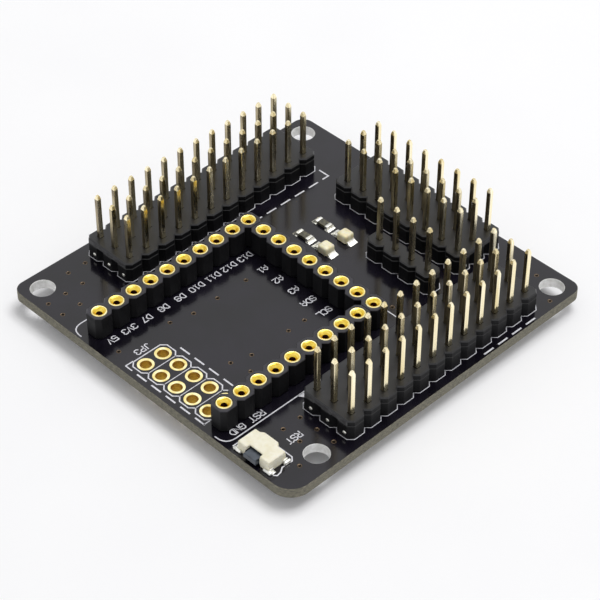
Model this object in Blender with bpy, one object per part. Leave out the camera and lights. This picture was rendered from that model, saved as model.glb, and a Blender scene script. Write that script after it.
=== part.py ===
"""Controller expansion board: a small black circuit board that carries a U of turned-pin
sockets, three blocks of three-row pin headers, a four-pin header, two indicator lights with
their resistors, and a side-pressed reset switch.

Units are metres, +Z is up, and the board's front edge (the reset switch's edge) faces -Y.
The origin is below the middle of the board, at the height of the lowest pin tails.
"""
import math

import bmesh
import bpy
from mathutils import Matrix, Vector

MM = 0.001

# Grid: the board is as wide and as long as the rows that it carries
PITCH = 2.54 * MM               # spacing of every pin, socket and plated hole
EDGE_ROW_INSET = 2.54 * MM      # outer pin rows to the nearest board edge
SIDE_GAP = 5.08 * MM            # inner pin row of a side header to the nearest socket arm
SMALL_GAP = 5.08 * MM           # small header to the front row of the rear header
SPAN_GAP = 8.89 * MM            # small header to the crossing socket row
SOCKET_FRONT_INSET = 2.54 * MM  # front sockets to the board's front edge
HEADER_ROWS = 3
SIDE_PINS = 12
REAR_PINS = 8
SMALL_PINS = 4
ARM_SOCKETS = 10                # each arm of the U, with its corner
SPAN_CELLS = 8                  # pitches between the two arms
PLATED_COLUMNS = 5
PLATED_ROWS = 2

# Board
BOARD_THICK = 1.3 * MM
FRONT_CORNER_R = 2.6 * MM       # the corner beside the reset switch
CORNER_R = 1.5 * MM             # the other three corners
CORNER_STEPS = 5
MOUNT_HOLE_D = 3.0 * MM
MOUNT_HOLE_SIDES = 20
MOUNT_INSET = 2.54 * MM         # mounting hole centre to each board edge
SWITCH_HOLE_INSET = 6.35 * MM   # the same hole beside the switch, from the front edge
PLATED_HOLE_D = 1.4 * MM
PLATED_HOLE_SIDES = 8
PIN_HOLE_SIDES = 6              # drilled holes that pins and tails fill
SEAT_GAP = 0.03 * MM            # between a seated piece and what carries it

# Pin headers
PIN_W = 0.64 * MM               # square pin
PIN_ABOVE = 6.0 * MM            # pin above its housing
TAIL_DROP = 1.7 * MM            # longest tails below the board
HOUSING_H = 2.54 * MM
CELL_CHAMFER = 0.55 * MM        # corner cut of each cell of a housing
CELL_CLEAR = 0.02 * MM          # outer faces stand this far inside the pitch
PIN_HOLE_CLEAR = 0.05 * MM      # pin corner to drill wall
TAIL_HOLE_CLEAR = 0.1 * MM      # socket tail to drill wall

# Turned-pin sockets
SOCKET_H = 3.0 * MM
SOCKET_CHAMFER = 0.53 * MM      # corner cut of each cell of a strip
CONTACT_HEAD_D = 1.9 * MM
CONTACT_HEAD_H = 0.5 * MM
CONTACT_BARREL_D = 1.32 * MM
CONTACT_BARREL_LIFT = 0.4 * MM  # barrel's lower end above the strip's underside
CONTACT_FUNNEL_D = 1.4 * MM
CONTACT_BORE_D = 0.7 * MM
CONTACT_FUNNEL_DEPTH = 0.45 * MM
CONTACT_FLOOR = 0.4 * MM        # under the blind bore
CONTACT_TAIL_D = 0.5 * MM
CONTACT_TAIL_DROP = 1.4 * MM    # socket tail below the board
CONTACT_CLEAR = 0.03 * MM
CONTACT_SIDES = 8

# Chip lights and resistors
CHIP_LENGTH = 2.0 * MM
CHIP_WIDTH = 1.25 * MM
LED_BASE_H = 0.35 * MM
LED_LENS_H = 0.55 * MM
LED_LENS_INSET = 0.3 * MM       # lens end to base end
RESISTOR_H = 0.5 * MM
CHIP_PAIR_PITCH = 3.2 * MM      # between the two light and resistor pairs
LED_X = -2.42 * MM
RESISTOR_X = -5.86 * MM
CHIP_ROW_GAP = 5.0 * MM         # crossing socket row to the nearer pair

# Reset switch
SWITCH_ARM_GAP = 6.32 * MM      # right socket arm to the switch's middle
SWITCH_LENGTH = 4.7 * MM        # along X
SWITCH_DEPTH = 2.6 * MM         # along Y, without the plunger
SWITCH_H = 1.45 * MM
SWITCH_FRONT_INSET = 0.75 * MM  # switch front to the board's front edge
SWITCH_FLOOR = 0.25 * MM
SWITCH_WALL = 0.7 * MM          # end walls
SWITCH_BACK_WALL = 0.4 * MM
SWITCH_LIP = 0.4 * MM           # front lips, along X and along Y
COVER_THICK = 0.25 * MM
PLUNGER_REACH = 0.75 * MM       # plunger in front of the switch at rest
PLUNGER_FLANGE_T = 0.45 * MM
PLUNGER_CLEAR = 0.08 * MM
PLUNGER_TRAVEL = 0.25 * MM
DOME_THICK = 0.1 * MM
DOME_GAP = 0.1 * MM             # left between the pressed plunger and the dome
DOME_STEPS = 8
TERMINAL_THICK = 0.15 * MM
TERMINAL_W = 0.6 * MM
TERMINAL_FOOT = 0.5 * MM
TERMINAL_RISE = 0.55 * MM

# What the rows add up to
HEADER_SPAN = (HEADER_ROWS - 1) * PITCH
ARM_X = SPAN_CELLS / 2 * PITCH
BOARD_WIDTH = 2 * (ARM_X + SIDE_GAP + HEADER_SPAN + EDGE_ROW_INSET)
ARM_LENGTH = (ARM_SOCKETS - 1) * PITCH
BACK_TO_SPAN = EDGE_ROW_INSET + HEADER_SPAN + SMALL_GAP + SPAN_GAP
BOARD_LENGTH = BACK_TO_SPAN + ARM_LENGTH + SOCKET_FRONT_INSET

# Heights
BOARD_BOTTOM_Z = TAIL_DROP
BOARD_TOP_Z = BOARD_BOTTOM_Z + BOARD_THICK
SEAT_Z = BOARD_TOP_Z + SEAT_GAP
PIN_LOW_Z = -BOARD_THICK - TAIL_DROP            # from the board's top face
PIN_HIGH_Z = SEAT_GAP + HOUSING_H + PIN_ABOVE


def clear_objects():
    for item in list(bpy.data.objects):
        bpy.data.objects.remove(item, do_unlink=True)


def material(name, color, roughness, metallic=0.0):
    made = bpy.data.materials.new(name)
    made.use_nodes = True
    shader = made.node_tree.nodes["Principled BSDF"]
    shader.inputs["Base Color"].default_value = (*color, 1.0)
    shader.inputs["Roughness"].default_value = roughness
    shader.inputs["Metallic"].default_value = metallic
    made.diffuse_color = (*color, 1.0)
    return made


# Shapes

def node(name, mesh, place, finish):
    made = bpy.data.objects.new(name, mesh)
    made.location = place
    mesh.materials.append(finish)
    bpy.context.scene.collection.objects.link(made)
    return made


def finished_mesh(name, shape):
    bmesh.ops.remove_doubles(shape, verts=shape.verts, dist=1e-7)
    bmesh.ops.recalc_face_normals(shape, faces=shape.faces)
    mesh = bpy.data.meshes.new(name)
    shape.to_mesh(mesh)
    shape.free()
    return mesh


def circle(radius, sides, center=(0.0, 0.0), turn=0.0):
    """Points round a circle, or round a regular polygon when the sides are few."""
    angles = [turn + math.tau * i / sides for i in range(sides)]
    return [(center[0] + radius * math.cos(a), center[1] + radius * math.sin(a)) for a in angles]


def polygon_flats(across, sides, center):
    """A regular polygon with flat sides this far apart, one of them facing +X."""
    radius = across / 2 / math.cos(math.pi / sides)
    return circle(radius, sides, center, math.pi / sides)


def rectangle(x0, y0, x1, y1):
    return [(x0, y0), (x1, y0), (x1, y1), (x0, y1)]


def add_flat_face(shape, loops, height):
    """Add a flat face at this height. The first loop is its outline, and the rest are holes."""
    curve = bpy.data.curves.new("flat_face", "CURVE")
    curve.dimensions = "2D"
    curve.fill_mode = "FRONT"
    for loop in loops:
        spline = curve.splines.new("POLY")
        spline.points.add(len(loop) - 1)
        for point, (x, y) in zip(spline.points, loop):
            point.co = (x, y, 0.0, 1.0)
        spline.use_cyclic_u = True
    carrier = bpy.data.objects.new("flat_face", curve)
    bpy.context.scene.collection.objects.link(carrier)
    graph = bpy.context.evaluated_depsgraph_get()
    graph.update()
    filled = bpy.data.meshes.new_from_object(carrier.evaluated_get(graph))
    filled.transform(Matrix.Translation((0.0, 0.0, height)))
    shape.from_mesh(filled)
    bpy.data.meshes.remove(filled)
    bpy.data.objects.remove(carrier, do_unlink=True)
    bpy.data.curves.remove(curve)


def add_wall(shape, low, low_z, high, high_z):
    """Join two loops of as many points with four-sided faces."""
    lower = [shape.verts.new((x, y, low_z)) for x, y in low]
    upper = [shape.verts.new((x, y, high_z)) for x, y in high]
    for i in range(len(low)):
        j = (i + 1) % len(low)
        shape.faces.new((lower[i], lower[j], upper[j], upper[i]))


def prism_mesh(name, outline, holes, z0, z1):
    """A flat plate from z0 to z1 with an outline and any holes, all through."""
    shape = bmesh.new()
    loops = [outline, *holes]
    add_flat_face(shape, loops, z0)
    add_flat_face(shape, loops, z1)
    for loop in loops:
        add_wall(shape, loop, z0, loop, z1)
    return finished_mesh(name, shape)


def seated_plate_mesh(name, outline, holes, seats, z0, seat_z, z1):
    """A plate whose holes widen to seats, from the height seat_z up."""
    shape = bmesh.new()
    add_flat_face(shape, [outline, *holes], z0)
    add_flat_face(shape, [outline, *seats], z1)
    add_wall(shape, outline, z0, outline, z1)
    for hole, seat in zip(holes, seats):
        add_wall(shape, hole, z0, hole, seat_z)
        add_wall(shape, hole, seat_z, seat, seat_z)
        add_wall(shape, seat, seat_z, seat, z1)
    return finished_mesh(name, shape)


def box_mesh(name, size_x, size_y, low, high):
    """A box centred on the Z axis."""
    return prism_mesh(name, rectangle(-size_x / 2, -size_y / 2, size_x / 2, size_y / 2), [], low, high)


def turned_mesh(name, profile, sides):
    """A turned piece: profile points are (radius, height), and both ends lie on the axis."""
    shape = bmesh.new()
    rings = []
    for radius, height in profile:
        if radius == 0.0:
            rings.append([shape.verts.new((0.0, 0.0, height))])
        else:
            points = circle(radius, sides, turn=math.pi / sides)
            rings.append([shape.verts.new((x, y, height)) for x, y in points])
    for lower, upper in zip(rings, rings[1:]):
        if len(lower) == 1:
            shape.faces.new(upper)
        elif len(upper) == 1:
            shape.faces.new(lower)
        else:
            for i in range(sides):
                j = (i + 1) % sides
                shape.faces.new((lower[i], lower[j], upper[j], upper[i]))
    loose = [v for v in shape.verts if not v.link_faces]
    bmesh.ops.delete(shape, geom=loose, context="VERTS")
    return finished_mesh(name, shape)


def smooth_round(mesh):
    mesh.shade_smooth()
    mesh.set_sharp_from_angle(angle=math.radians(50))


# Places on the board

def row(start, count, step=PITCH):
    return [start + step * i for i in range(count)]


def header_rows(outer, inward):
    return [outer + inward * PITCH * i for i in range(HEADER_ROWS)]


BACK_ROW_Y = BOARD_LENGTH / 2 - EDGE_ROW_INSET
SIDE_ROW_X = BOARD_WIDTH / 2 - EDGE_ROW_INSET
SOCKET_ROW_Y = BOARD_LENGTH / 2 - BACK_TO_SPAN
FRONT_SOCKET_Y = SOCKET_ROW_Y - ARM_LENGTH
SIDE_BACK_Y = BACK_ROW_Y - HEADER_SPAN
SIDE_FRONT_Y = SIDE_BACK_Y - (SIDE_PINS - 1) * PITCH
REAR_START_X = ARM_X - (REAR_PINS - 1) * PITCH
SMALL_START_X = ARM_X - (SMALL_PINS - 1) * PITCH
SMALL_Y = BACK_ROW_Y - HEADER_SPAN - SMALL_GAP
CHIP_ROW_Y = SOCKET_ROW_Y + CHIP_ROW_GAP
SWITCH_X = ARM_X + SWITCH_ARM_GAP
PLATED_X = row(ARM_X - PLATED_COLUMNS * PITCH, PLATED_COLUMNS)
PLATED_Y = row(FRONT_SOCKET_Y, PLATED_ROWS)

LEFT_HEADER = (header_rows(-SIDE_ROW_X, 1), row(SIDE_FRONT_Y, SIDE_PINS))
RIGHT_HEADER = (header_rows(SIDE_ROW_X, -1)[::-1], row(SIDE_FRONT_Y, SIDE_PINS))
REAR_HEADER = (row(REAR_START_X, REAR_PINS), header_rows(BACK_ROW_Y, -1)[::-1])
SMALL_HEADER = (row(SMALL_START_X, SMALL_PINS), [SMALL_Y])

LEFT_ARM = [(-ARM_X, y) for y in row(SOCKET_ROW_Y, ARM_SOCKETS, -PITCH)]
CROSS_ROW = [(x, SOCKET_ROW_Y) for x in row(-ARM_X + PITCH, SPAN_CELLS)]
RIGHT_ARM = [(ARM_X, y) for y in row(SOCKET_ROW_Y - PITCH, ARM_SOCKETS - 1, -PITCH)]


def grid(header):
    return [(x, y) for x in header[0] for y in header[1]]


# Circuit board

def rounded_board():
    x = BOARD_WIDTH / 2
    y = BOARD_LENGTH / 2
    corners = [
        (-x, -y, CORNER_R, math.pi),
        (x, -y, FRONT_CORNER_R, 1.5 * math.pi),
        (x, y, CORNER_R, 0.0),
        (-x, y, CORNER_R, 0.5 * math.pi),
    ]
    outline = []
    for cx, cy, radius, start in corners:
        mx = cx - math.copysign(radius, cx)
        my = cy - math.copysign(radius, cy)
        for i in range(CORNER_STEPS + 1):
            angle = start + math.pi / 2 * i / CORNER_STEPS
            outline.append((mx + radius * math.cos(angle), my + radius * math.sin(angle)))
    return outline


def mounting_holes():
    x = BOARD_WIDTH / 2 - MOUNT_INSET
    y = BOARD_LENGTH / 2 - MOUNT_INSET
    switch_side = -BOARD_LENGTH / 2 + SWITCH_HOLE_INSET
    return [(-x, -y), (-x, y), (x, y), (x, switch_side)]


def make_board(finish):
    pin_hole = PIN_W * math.sqrt(2) + 2 * PIN_HOLE_CLEAR
    tail_hole = CONTACT_TAIL_D + 2 * TAIL_HOLE_CLEAR
    pins = [p for h in (LEFT_HEADER, RIGHT_HEADER, REAR_HEADER, SMALL_HEADER) for p in grid(h)]
    tails = LEFT_ARM + CROSS_ROW + RIGHT_ARM
    plated = [(x, y) for x in PLATED_X for y in PLATED_Y]
    holes = [circle(MOUNT_HOLE_D / 2, MOUNT_HOLE_SIDES, p) for p in mounting_holes()]
    holes += [polygon_flats(pin_hole, PIN_HOLE_SIDES, p) for p in pins]
    holes += [polygon_flats(tail_hole, PIN_HOLE_SIDES, p) for p in tails]
    holes += [polygon_flats(PLATED_HOLE_D, PLATED_HOLE_SIDES, p) for p in plated]
    mesh = prism_mesh("circuit_board", rounded_board(), holes, 0.0, BOARD_THICK)
    node("circuit_board", mesh, (0.0, 0.0, BOARD_BOTTOM_Z), finish)


# Housings of headers and sockets

def notched_side(places, chamfer, notched):
    """One side of a block of cells, as (along, inward) pairs, with or without its V notches."""
    side = PITCH / 2 - CELL_CLEAR - chamfer
    if not notched:
        return [(places[0] - side, 0.0), (places[-1] + side, 0.0)]
    points = []
    for place in places:
        points += [(place - side, 0.0), (place + side, 0.0)]
        if place != places[-1]:
            points.append((place + PITCH / 2, chamfer))
    return points


def notched_outline(xs, ys, chamfer):
    """Outline of a block of cells. Its long sides have a V notch between neighbours."""
    half = PITCH / 2 - CELL_CLEAR
    along_x = notched_side(xs, chamfer, len(xs) > len(ys))
    along_y = notched_side(ys, chamfer, len(ys) > len(xs))
    front = [(x, ys[0] - half + depth) for x, depth in along_x]
    right = [(xs[-1] + half - depth, y) for y, depth in along_y]
    back = [(x, ys[-1] + half - depth) for x, depth in reversed(along_x)]
    left = [(xs[0] - half + depth, y) for y, depth in reversed(along_y)]
    return front + right + back + left


def pin_square(x, y, grow=0.0):
    half = PIN_W / 2 + grow
    return rectangle(x - half, y - half, x + half, y + half)


def make_header(name, header, finish):
    """A header block: the housing and the square pins moulded into it, as one solid."""
    shape = bmesh.new()
    outline = notched_outline(*header, CELL_CHAMFER)
    pins = [pin_square(x, y) for x, y in grid(header)]
    low = SEAT_GAP
    high = SEAT_GAP + HOUSING_H
    add_wall(shape, outline, low, outline, high)
    for face_z, end_z in ((low, PIN_LOW_Z), (high, PIN_HIGH_Z)):
        add_flat_face(shape, [outline, *pins], face_z)
        for pin in pins:
            add_wall(shape, pin, face_z, pin, end_z)
            shape.faces.new([shape.verts.new((x, y, end_z)) for x, y in pin])
    node(name, finished_mesh(name, shape), (0.0, 0.0, BOARD_TOP_Z), finish)


def make_small_header(finish, gold):
    """The four-pin header: its housing, and each pin as a piece of its own."""
    outline = notched_outline(*SMALL_HEADER, CELL_CHAMFER)
    holes = [pin_square(x, y, SEAT_GAP) for x, y in grid(SMALL_HEADER)]
    mesh = prism_mesh("small_header_housing", outline, holes, SEAT_GAP, SEAT_GAP + HOUSING_H)
    node("small_header_housing", mesh, (0.0, 0.0, BOARD_TOP_Z), finish)
    pin = prism_mesh("small_header_pin", pin_square(0.0, 0.0), [], PIN_LOW_Z, PIN_HIGH_Z)
    pin.materials.append(gold)
    for i, (x, y) in enumerate(grid(SMALL_HEADER), 1):
        made = bpy.data.objects.new(f"small_header_pin_{i}", pin)
        made.location = (x, y, BOARD_TOP_Z)
        bpy.context.scene.collection.objects.link(made)


def make_socket_strip(name, places, finish):
    xs = sorted({x for x, y in places})
    ys = sorted({y for x, y in places})
    bore = CONTACT_BARREL_D + 2 * CONTACT_CLEAR
    recess = CONTACT_HEAD_D + 2 * CONTACT_CLEAR
    outline = notched_outline(xs, ys, SOCKET_CHAMFER)
    holes = [polygon_flats(bore, CONTACT_SIDES, p) for p in places]
    seats = [polygon_flats(recess, CONTACT_SIDES, p) for p in places]
    top = SEAT_GAP + SOCKET_H
    seat_z = top - CONTACT_HEAD_H - CONTACT_CLEAR
    mesh = seated_plate_mesh(name, outline, holes, seats, SEAT_GAP, seat_z, top)
    node(name, mesh, (0.0, 0.0, BOARD_TOP_Z), finish)


def contact_mesh():
    """A turned socket: solder tail, barrel, head, lead-in funnel and blind bore."""
    flat = math.cos(math.pi / CONTACT_SIDES)
    top = SEAT_GAP + SOCKET_H
    head_low = top - CONTACT_HEAD_H
    barrel_low = SEAT_GAP + CONTACT_BARREL_LIFT
    bore_low = barrel_low + CONTACT_FLOOR
    profile = [
        (0.0, -BOARD_THICK - CONTACT_TAIL_DROP),
        (CONTACT_TAIL_D / 2 / flat, -BOARD_THICK - CONTACT_TAIL_DROP),
        (CONTACT_TAIL_D / 2 / flat, barrel_low),
        (CONTACT_BARREL_D / 2 / flat, barrel_low),
        (CONTACT_BARREL_D / 2 / flat, head_low),
        (CONTACT_HEAD_D / 2 / flat, head_low),
        (CONTACT_HEAD_D / 2 / flat, top),
        (CONTACT_FUNNEL_D / 2 / flat, top),
        (CONTACT_BORE_D / 2 / flat, top - CONTACT_FUNNEL_DEPTH),
        (CONTACT_BORE_D / 2 / flat, bore_low),
        (0.0, bore_low),
    ]
    mesh = turned_mesh("socket_contact", profile, CONTACT_SIDES)
    smooth_round(mesh)
    return mesh


def make_contacts(finish):
    mesh = contact_mesh()
    mesh.materials.append(finish)
    for i, (x, y) in enumerate(LEFT_ARM + CROSS_ROW + RIGHT_ARM, 1):
        made = bpy.data.objects.new(f"socket_contact_{i:02d}", mesh)
        made.location = (x, y, BOARD_TOP_Z)
        bpy.context.scene.collection.objects.link(made)


# Chip parts

def make_lights(base_finish, lens_finish, resistor_finish):
    lens_low = LED_BASE_H + SEAT_GAP
    lens_length = CHIP_LENGTH - 2 * LED_LENS_INSET
    base = box_mesh("led_base", CHIP_LENGTH, CHIP_WIDTH, 0.0, LED_BASE_H)
    lens = box_mesh("led_lens", lens_length, CHIP_WIDTH, lens_low, lens_low + LED_LENS_H)
    resistor = box_mesh("resistor", CHIP_LENGTH, CHIP_WIDTH, 0.0, RESISTOR_H)
    base.materials.append(base_finish)
    lens.materials.append(lens_finish)
    resistor.materials.append(resistor_finish)
    for i, side in enumerate(("front", "rear")):
        y = CHIP_ROW_Y + i * CHIP_PAIR_PITCH
        for name, mesh, x in (
            ("led_base", base, LED_X),
            ("led_lens", lens, LED_X),
            ("resistor", resistor, RESISTOR_X),
        ):
            made = bpy.data.objects.new(f"{name}_{side}", mesh)
            made.location = (x, y, SEAT_Z)
            bpy.context.scene.collection.objects.link(made)


# Reset switch: built round its own middle, standing on the board, plunger towards -Y

HALF_L = SWITCH_LENGTH / 2
HALF_D = SWITCH_DEPTH / 2
CAVITY_X = HALF_L - SWITCH_WALL
OPENING_X = CAVITY_X - SWITCH_LIP
COVER_LOW = SWITCH_H - COVER_THICK
SWITCH_Y = -BOARD_LENGTH / 2 + SWITCH_FRONT_INSET + HALF_D
LIP_BACK_Y = -HALF_D + SWITCH_LIP
PLUNGER_LOW = SWITCH_FLOOR + PLUNGER_CLEAR
PLUNGER_HIGH = COVER_LOW - PLUNGER_CLEAR
CAVITY_BACK_Y = HALF_D - SWITCH_BACK_WALL


def u_outline():
    """The switch's outline, cut back in the middle of its front."""
    return [
        (-HALF_L, -HALF_D), (-OPENING_X, -HALF_D), (-OPENING_X, LIP_BACK_Y),
        (OPENING_X, LIP_BACK_Y), (OPENING_X, -HALF_D), (HALF_L, -HALF_D),
        (HALF_L, HALF_D), (-HALF_L, HALF_D),
    ]


def cavity_outline():
    """The floor behind the front lips, from one lip's inner corner round to the other's."""
    return [
        (-OPENING_X, LIP_BACK_Y), (-CAVITY_X, LIP_BACK_Y), (-CAVITY_X, CAVITY_BACK_Y),
        (CAVITY_X, CAVITY_BACK_Y), (CAVITY_X, LIP_BACK_Y), (OPENING_X, LIP_BACK_Y),
    ]


def make_switch_base(place, finish):
    """A floor with a back wall, two end walls and two front lips that hold the plunger."""
    plan = u_outline()
    walls = plan[:2] + cavity_outline() + plan[4:]
    top = COVER_LOW - SEAT_GAP
    shape = bmesh.new()
    add_flat_face(shape, [plan], SEAT_GAP)
    add_wall(shape, plan, SEAT_GAP, plan, SWITCH_FLOOR)
    add_flat_face(shape, [cavity_outline()], SWITCH_FLOOR)
    add_wall(shape, walls, SWITCH_FLOOR, walls, top)
    add_flat_face(shape, [walls], top)
    node("switch_base", finished_mesh("switch_base", shape), place, finish)


def make_switch_cover(place, finish):
    mesh = prism_mesh("switch_cover", u_outline(), [], COVER_LOW, SWITCH_H)
    node("switch_cover", mesh, place, finish)


def make_plunger(place, finish):
    """A T seen from above: the flange stays behind the lips, the stem reaches out in front."""
    stem = OPENING_X - PLUNGER_CLEAR
    flange = CAVITY_X - PLUNGER_CLEAR
    front = -HALF_D - PLUNGER_REACH
    shoulder = LIP_BACK_Y + PLUNGER_CLEAR
    back = shoulder + PLUNGER_FLANGE_T
    outline = [
        (-stem, front), (stem, front), (stem, shoulder), (flange, shoulder),
        (flange, back), (-flange, back), (-flange, shoulder), (-stem, shoulder),
    ]
    mesh = prism_mesh("switch_plunger", outline, [], PLUNGER_LOW, PLUNGER_HIGH)
    node("switch_plunger", mesh, place, finish)


def make_dome(place, finish):
    """A bowed spring plate standing on edge between the plunger and the back wall."""
    flange_back = LIP_BACK_Y + PLUNGER_CLEAR + PLUNGER_FLANGE_T
    front = flange_back + PLUNGER_TRAVEL + DOME_GAP
    back = CAVITY_BACK_Y - SEAT_GAP
    half = CAVITY_X - PLUNGER_CLEAR
    bow = back - DOME_THICK - front
    xs = [-half + 2 * half * i / DOME_STEPS for i in range(DOME_STEPS + 1)]
    near = [(x, front + bow * (x / half) ** 2) for x in xs]
    far = [(x, y + DOME_THICK) for x, y in reversed(near)]
    mesh = prism_mesh("switch_dome", near + far, [], PLUNGER_LOW, PLUNGER_HIGH)
    node("switch_dome", mesh, place, finish)


def make_terminals(place, finish):
    """Four bent tabs: each has a foot on the board and a riser up the switch's end wall."""
    inner = HALF_L + SEAT_GAP
    foot = inner + TERMINAL_FOOT
    low = SEAT_GAP
    shelf = low + TERMINAL_THICK
    profile = [
        (inner, low), (foot, low), (foot, shelf), (inner + TERMINAL_THICK, shelf),
        (inner + TERMINAL_THICK, low + TERMINAL_RISE), (inner, low + TERMINAL_RISE),
    ]
    reach = HALF_D - TERMINAL_W / 2
    for end, side_x in (("left", -1), ("right", 1)):
        for depth, y in (("front", -reach), ("rear", reach)):
            name = f"switch_terminal_{depth}_{end}"
            shape = bmesh.new()
            ring = [shape.verts.new((side_x * x, y - TERMINAL_W / 2, z)) for x, z in profile]
            face = shape.faces.new(ring)
            grown = bmesh.ops.extrude_face_region(shape, geom=[face])["geom"]
            moved = [g for g in grown if isinstance(g, bmesh.types.BMVert)]
            bmesh.ops.translate(shape, verts=moved, vec=(0.0, TERMINAL_W, 0.0))
            node(name, finished_mesh(name, shape), place, finish)


def make_switch(ivory, dark, spring, tin):
    place = (SWITCH_X, SWITCH_Y, BOARD_TOP_Z)
    make_switch_base(place, ivory)
    make_switch_cover(place, ivory)
    make_plunger(place, dark)
    make_dome(place, spring)
    make_terminals(place, tin)


def build():
    clear_objects()
    mask = material("black_solder_mask", (0.035, 0.035, 0.042), 0.45)
    nylon = material("black_nylon", (0.02, 0.02, 0.022), 0.5)
    gold = material("gold_plate", (0.9, 0.68, 0.28), 0.25, 1.0)
    ivory = material("ivory_plastic", (0.86, 0.83, 0.7), 0.5)
    dark = material("dark_plastic", (0.06, 0.06, 0.07), 0.5)
    spring = material("spring_steel", (0.6, 0.6, 0.6), 0.3, 1.0)
    tin = material("tin_plate", (0.8, 0.8, 0.78), 0.3, 1.0)
    ceramic = material("dark_ceramic", (0.1, 0.1, 0.08), 0.4)
    laminate = material("white_laminate", (0.8, 0.78, 0.7), 0.5)
    lens = material("cream_epoxy", (0.9, 0.86, 0.6), 0.3)
    make_board(mask)
    make_header("left_header", LEFT_HEADER, nylon)
    make_header("right_header", RIGHT_HEADER, nylon)
    make_header("rear_header", REAR_HEADER, nylon)
    make_small_header(nylon, gold)
    make_socket_strip("socket_strip_left", LEFT_ARM, nylon)
    make_socket_strip("socket_strip_cross", CROSS_ROW, nylon)
    make_socket_strip("socket_strip_right", RIGHT_ARM, nylon)
    make_contacts(gold)
    make_lights(laminate, lens, ceramic)
    make_switch(ivory, dark, spring, tin)


build()
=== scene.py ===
"""Looks of a controller expansion board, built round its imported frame.

Every piece is placed from the frame's own boxes, in metres, with +Z up. The reset switch is on
the front edge, which faces -Y.
"""
import math

import bmesh
import bpy
from mathutils import Matrix, Vector


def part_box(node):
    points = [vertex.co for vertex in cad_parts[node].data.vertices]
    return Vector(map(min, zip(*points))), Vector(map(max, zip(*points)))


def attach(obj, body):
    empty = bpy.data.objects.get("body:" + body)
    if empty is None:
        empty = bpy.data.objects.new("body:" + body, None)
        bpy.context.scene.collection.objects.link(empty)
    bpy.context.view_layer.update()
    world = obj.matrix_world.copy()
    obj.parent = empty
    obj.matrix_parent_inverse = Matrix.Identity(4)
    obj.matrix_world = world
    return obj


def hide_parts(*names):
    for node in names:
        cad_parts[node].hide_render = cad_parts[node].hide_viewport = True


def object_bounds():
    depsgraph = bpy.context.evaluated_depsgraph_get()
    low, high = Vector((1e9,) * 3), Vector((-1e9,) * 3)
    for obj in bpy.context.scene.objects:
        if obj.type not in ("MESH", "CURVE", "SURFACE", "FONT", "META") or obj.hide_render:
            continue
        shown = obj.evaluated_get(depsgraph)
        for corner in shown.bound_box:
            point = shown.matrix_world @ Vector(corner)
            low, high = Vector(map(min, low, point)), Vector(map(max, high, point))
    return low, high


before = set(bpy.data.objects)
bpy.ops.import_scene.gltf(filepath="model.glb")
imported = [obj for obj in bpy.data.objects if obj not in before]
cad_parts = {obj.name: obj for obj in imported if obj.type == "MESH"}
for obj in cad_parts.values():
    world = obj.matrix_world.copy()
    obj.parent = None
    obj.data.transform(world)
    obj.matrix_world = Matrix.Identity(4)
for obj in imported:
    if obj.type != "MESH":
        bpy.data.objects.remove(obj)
CAD_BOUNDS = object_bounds()

MM = 0.001
PITCH = 2.54 * MM
BOARD_LOW, BOARD_HIGH = (Vector(corner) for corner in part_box("circuit_board"))

FLAT = 0.9                      # a flat face's normal has more than this along Z
UPRIGHT = 0.3                   # an upright one's has less than this
SQUARE_ON = 0.98                # one square on to Y has more than this along Y

# Sides of round shapes
MOUNT_HOLE_SIDES = 40
PLATED_HOLE_SIDES = 20
PIN_HOLE_SIDES = 10
VIA_HOLE_SIDES = 8
TURNED_SIDES = 28
SOLDER_SIDES = 14
VIA_RING_SIDES = 12
SOCKET_HOLE_SIDES = 24
CORNER_STEPS = 12

# Board
FRONT_CORNER_R = 2.6 * MM       # the corner beside the reset switch
CORNER_R = 1.5 * MM
MOUNT_HOLE_R = 1.5 * MM
MOUNT_INSET = 2.54 * MM
SWITCH_HOLE_INSET = 6.35 * MM   # the hole beside the switch, from the front edge
EDGE_BREAK = 0.05 * MM          # routed edge, taken off with a file
PIN_HOLE_R = 0.5 * MM
TAIL_HOLE_R = 0.35 * MM
VIA_HOLE_R = 0.17 * MM
VIA_PAD_R = 0.3 * MM
COPPER = 0.02 * MM              # pads and print stand this far off the board
PLATED_PAD_R = 0.98 * MM
PLATED_HOLE_R = 0.66 * MM
PLATING = 0.04 * MM
LINING_SUNK = 0.02 * MM         # a mounting hole's lining ends this far inside the board

# Solder cones under the board, as (radius, depth) in mm
PIN_SOLDER = ((0.0, 0.0), (0.85, 0.0), (0.66, 0.22), (0.5, 0.5), (0.44, 0.95), (0.0, 1.01))
TAIL_SOLDER = ((0.0, 0.0), (0.75, 0.0), (0.5, 0.22), (0.36, 0.5), (0.3, 0.8), (0.0, 0.86))

# Pins and housings
PIN_HALF = 0.3 * MM
PIN_CORNER = 0.08 * MM
PIN_TIP_HALF = 0.17 * MM
PIN_TIP_H = 0.42 * MM
HOUSING_EDGE = 0.14 * MM
CELL_CHAMFER = 0.55 * MM
STRIP_CHAMFER = 0.53 * MM
STRIP_EDGE = 0.08 * MM
CELL_CLEAR = 0.02 * MM
PIN_SLOT = 0.03 * MM
RIB_H = 0.75 * MM
# Bright domes on the header ends, standing in as painted highlights:
HIGHLIGHT_DOT_R = 0.26 * MM
HIGHLIGHT_DOT_Z = 0.72 * MM
HIGHLIGHT_DOT_SIDE = 0.3 * MM
HIGHLIGHT_DOT_DEPTH = 0.45           # of its radius, into the housing
HIGHLIGHT_DOT_HEIGHT = 0.8

# Chips
RESISTOR_TRIM = 0.16 * MM
RESISTOR_CAP = 0.42 * MM
CAP_WRAP = 0.012 * MM
PAD_REACH = {"led_base": 0.62 * MM, "resistor": 0.4 * MM}
PAD_EDGE = 0.05 * MM            # a pad shows this far round its solder
PAD_UNDER = 0.3 * MM            # and runs this far under the chip
FILLET_H = 0.3 * MM

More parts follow.
